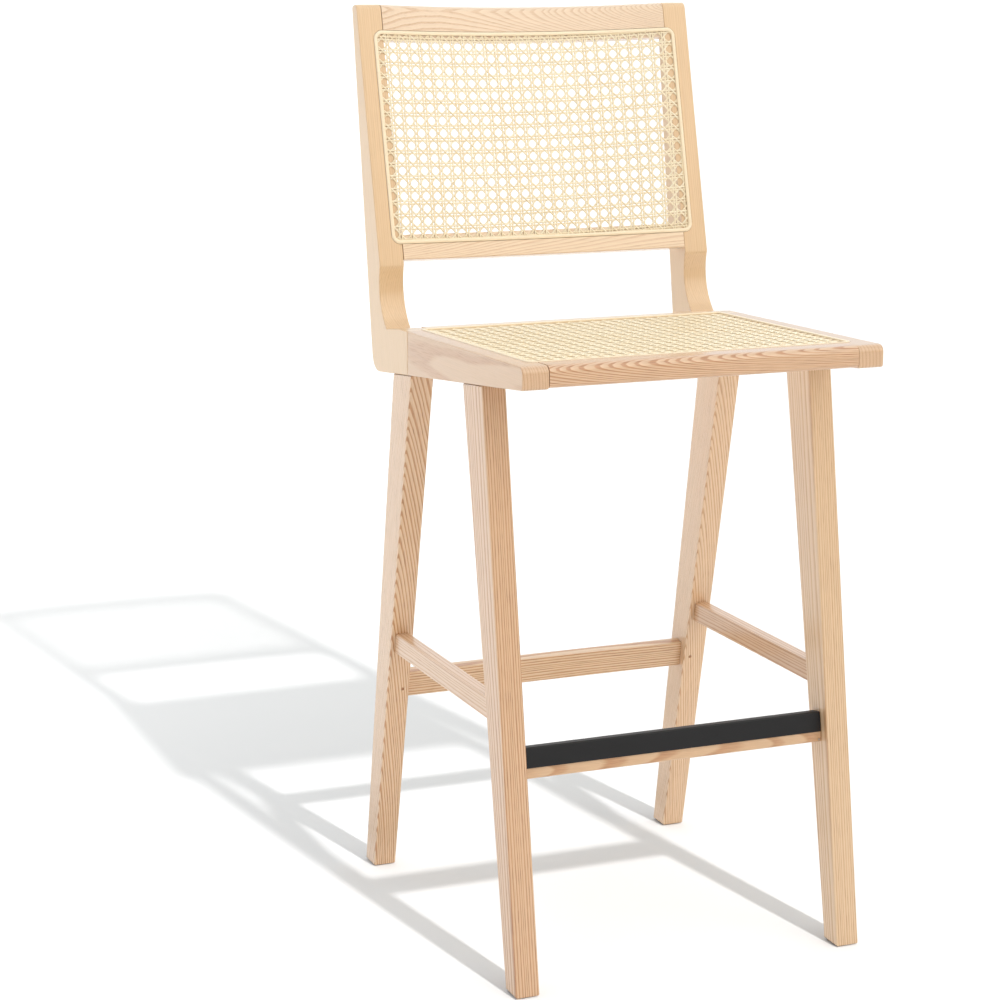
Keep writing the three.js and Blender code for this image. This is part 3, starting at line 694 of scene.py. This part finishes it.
# how the boards differ in colour, as factors on the red, green and blue of the pale ash
SNOW = (0.94, 0.93, 0.95)
HONEY = (0.87, 0.77, 0.62)
CREAM = (0.92, 0.86, 0.80)
WHEAT = (0.88, 0.82, 0.74)
TAN = (0.84, 0.73, 0.65)
RUSSET = (0.78, 0.66, 0.56)

WOOD = {
    # node: the grain, the direction of the pith, and what else ash() is told
    "back_post_left": (BACK_UP, (1, 0.7, 0), dict(tone=HONEY, contrast=0.22, ring=2.2 * MM)),
    "back_post_right": (BACK_UP, (1, 0.7, 0), dict(tone=HONEY, contrast=0.22, ring=2.2 * MM)),
    "seat_side_rail_left": (Y, X, dict(tone=RUSSET, contrast=0.6, ring=3.6 * MM, tilt=0.012,
                                       pith=200 * MM)),
    "seat_side_rail_right": (Y, X, dict(tone=RUSSET, contrast=0.5, ring=4.8 * MM, pith=200 * MM)),
    "leg_front_left": ((0, 0.18, 1), (1, 0.5, 0),
                       dict(tone=TAN, contrast=1.25, ring=3.1 * MM, tilt=0.004)),
    "leg_front_right": ((0, 0.18, 1), (1, 0.5, 0), dict(tone=WHEAT, contrast=0.8, ring=3.0 * MM)),
    "leg_rear_left": ((0, -0.185, 1), Y,
                      dict(tone=CREAM, contrast=1.5, tilt=0.17, pith=100 * MM, beside=62 * MM,
                           ring=2.5 * MM, wave=5 * MM)),
    "leg_rear_right": ((0, -0.185, 1), Y,
                       dict(tone=CREAM, contrast=0.9, tilt=0.15, pith=90 * MM, beside=56 * MM,
                            ring=2.2 * MM, wave=5 * MM)),
    "side_rung_left": (Y, (1, 0, 1), dict(tone=TAN, contrast=0.8)),
    "side_rung_right": (Y, (1, 0, 1), dict(tone=RUSSET, contrast=1.0)),
    "seat_front_rail": (X, Y, dict(tone=TAN, contrast=1.35, tilt=-0.13, pith=58 * MM,
                                   beside=40 * MM, ring=1.9 * MM, wave=3 * MM)),
    "seat_rear_rail": (X, Y, dict(contrast=0.7)),
    "back_top_rail": (X, Y, dict(tone=SNOW, contrast=0.5, tilt=-0.13, pith=62 * MM, beside=45 * MM,
                                 ring=1.9 * MM, wave=4 * MM)),
    "back_bottom_rail": (X, Y, dict(contrast=0.5, tilt=0.10, pith=52 * MM, beside=38 * MM,
                                    ring=2.0 * MM, wave=4 * MM)),
    "rear_rung": (X, Z, dict(tone=WHEAT, contrast=1.7, ring=3.4 * MM, wave=5 * MM)),
    "front_rung": (X, Y, dict(tone=RUSSET, contrast=0.75, tilt=0.05, pith=60 * MM, wave=4 * MM)),
}
for node, (along, across, settings) in WOOD.items():
    low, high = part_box(node)
    material = ash("ash_" + node, along, across, (low + high) / 2, **settings)
    welded(node, material)

PLYWOOD = plywood("bare_plywood")
BEECH = beech("beech_dowel")
COAT = powder_coat("black_powder_coat")
ZINC = zinc("zinc_plate")
GLIDE = moulded_plastic("glide_plastic")
for node in sorted(CAD_NODES):
    if node == "seat_board" or node.startswith("corner_block"):
        welded(node, PLYWOOD)
    elif "dowel" in node or node.startswith("rung_pin"):
        welded(node, BEECH)
    elif node == "footrest_plate" or node.startswith("plate_screw"):
        welded(node, COAT)
    elif node.startswith("block_screw") or node.startswith("brad"):
        welded(node, ZINC)
    elif node.startswith("glide"):
        welded(node, GLIDE)

# ------------------------------------------------------------------ floor, light, camera

FLOOR_HALF = 60.0
FLOOR_COLOUR = (0.61, 0.605, 0.60, 1)
# light that the floor adds to itself, for each metre to the left and to the back, and at most
GLOW_LEFT = 0.14
GLOW_BACK = 0.07
GLOW_MOST = 0.15


def stage_object(name, mesh, material):
    """A thing of the studio, which isn't part of the stool."""
    made = bpy.data.objects.new(name, mesh)
    bpy.context.scene.collection.objects.link(made)
    mesh.materials.append(material)
    made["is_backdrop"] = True
    return made


def floor():
    """A pale matt floor; its glow lifts it to white away from the stool."""
    mesh = bpy.data.meshes.new("floor")
    corners = [(-1, -1), (1, -1), (1, 1), (-1, 1)]
    mesh.from_pydata([(x * FLOOR_HALF, y * FLOOR_HALF, 0) for x, y in corners], [], [(0, 1, 2, 3)])
    g = Graph("pale_floor")
    g.shader.inputs["Base Color"].default_value = FLOOR_COLOUR
    g.shader.inputs["Roughness"].default_value = 0.9
    g.shader.inputs["Specular IOR Level"].default_value = 0.0
    x, y, _ = g.parts(g.place())
    left = g.math("MULTIPLY", x, -GLOW_LEFT)
    back = g.math("MULTIPLY", y, GLOW_BACK)
    glow = g.math("MINIMUM", g.math("ADD", left, back, clamp=True), GLOW_MOST)
    g.shader.inputs["Emission Color"].default_value = (1, 1, 1, 1)
    g.feed(g.shader.inputs["Emission Strength"], glow)
    return stage_object("floor", mesh, g.material)


BACKDROP_RADIUS = 58.0


def backdrop():
    """A white dome that only the camera sees: low views end in white, and the light is the same."""
    bm = bmesh.new()
    bmesh.ops.create_icosphere(bm, subdivisions=4, radius=BACKDROP_RADIUS)
    mesh = bpy.data.meshes.new("backdrop")
    bm.to_mesh(mesh)
    bm.free()
    g = Graph("white_backdrop")
    g.shader.inputs["Base Color"].default_value = (0, 0, 0, 1)
    g.shader.inputs["Specular IOR Level"].default_value = 0.0
    g.shader.inputs["Emission Color"].default_value = (1, 1, 1, 1)
    g.shader.inputs["Emission Strength"].default_value = 1.0
    made = stage_object("backdrop", mesh, g.material)
    made.visible_diffuse = False
    made.visible_glossy = False
    made.visible_transmission = False
    made.visible_shadow = False


# light from all round, and what each side adds to it: (axis, sign, colour)
BASE_LIGHT = (0.53, 0.53, 0.53)
SIDE_LIGHTS = [("Z", 1, (0.78, 0.84, 0.87)), ("X", -1, (-0.21, -0.15, -0.06)),
               ("Y", 1, (0.40, 0.40, 0.40)), ("Y", -1, (-0.18, -0.24, -0.31))]


def sun(name, direction, strength, angle, colour=(1, 1, 1), only=None):
    """A far light; `angle` is how wide it looks, and `only` is the one object that it lights."""
    data = bpy.data.lights.new(name, "SUN")
    data.energy = strength
    data.angle = math.radians(angle)
    data.color = colour
    made = bpy.data.objects.new(name, data)
    made.rotation_mode = "QUATERNION"
    made.rotation_quaternion = Vector(direction).to_track_quat("-Z", "Y")
    bpy.context.scene.collection.objects.link(made)
    if only is not None:
        lit = bpy.data.collections.new(name + "_lights_only")
        lit.objects.link(only)
        made.light_linking.receiver_collection = lit


def studio():
    """A pale room: brighter above and behind, dimmer on the left and in front."""
    made = bpy.data.worlds.new("studio")
    made.use_nodes = True
    tree = made.node_tree
    total = BASE_LIGHT
    split = tree.nodes.new("ShaderNodeSeparateXYZ")
    tree.links.new(tree.nodes.new("ShaderNodeTexCoord").outputs["Generated"], split.inputs[0])
    for axis, sign, colour in SIDE_LIGHTS:
        facing = tree.nodes.new("ShaderNodeMath")
        facing.operation = "MULTIPLY"
        facing.use_clamp = True
        facing.inputs[1].default_value = sign
        tree.links.new(split.outputs[axis], facing.inputs[0])
        scaled = tree.nodes.new("ShaderNodeVectorMath")
        scaled.operation = "SCALE"
        scaled.inputs[0].default_value = colour
        tree.links.new(facing.outputs[0], scaled.inputs["Scale"])
        added = tree.nodes.new("ShaderNodeVectorMath")
        added.operation = "ADD"
        feed(tree, added.inputs[0], scaled.outputs["Vector"])
        feed(tree, added.inputs[1], total)
        total = added.outputs["Vector"]
    tree.links.new(total, tree.nodes["Background"].inputs["Color"])
    bpy.context.scene.world = made


CAMERA_PLACE = (-1.3829, -2.9475, 1.2437)
CAMERA_YAW = math.radians(-23.01)
CAMERA_PITCH = math.radians(-12.37)
CAMERA_ROLL = math.radians(0.34)
CAMERA_LENS = 94.02  # in millimetres, on a sensor 36 mm wide
CAMERA_SHIFT = (-0.0053, 0.0009)


def camera():
    """A long lens at the front and left of the stool, a little above its back."""
    flat = math.cos(CAMERA_PITCH)
    forward = Vector((-math.sin(CAMERA_YAW) * flat, math.cos(CAMERA_YAW) * flat,
                      math.sin(CAMERA_PITCH)))
    right = Vector((math.cos(CAMERA_YAW), math.sin(CAMERA_YAW), 0))
    up = right.cross(forward)
    rolled_right = right * math.cos(CAMERA_ROLL) + up * math.sin(CAMERA_ROLL)
    rolled_up = up * math.cos(CAMERA_ROLL) - right * math.sin(CAMERA_ROLL)
    data = bpy.data.cameras.new("camera")
    data.sensor_width = 36
    data.lens = CAMERA_LENS
    data.shift_x, data.shift_y = CAMERA_SHIFT
    data.clip_end = 200
    made = bpy.data.objects.new("camera", data)
    turn = Matrix([rolled_right, rolled_up, -forward]).transposed().to_4x4()
    made.matrix_world = Matrix.Translation(CAMERA_PLACE) @ turn
    bpy.context.scene.collection.objects.link(made)
    bpy.context.scene.camera = made


ground = floor()
backdrop()
studio()
sun("key", (-0.35, 0.7, -0.62), 0.9, 50, (1, 0.95, 0.86))
sun("floor_shadow", (-0.115, 0.785, -0.61), 3.4, 2.0, only=ground)
camera()
bpy.context.scene.view_settings.view_transform = "Standard"

low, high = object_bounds()
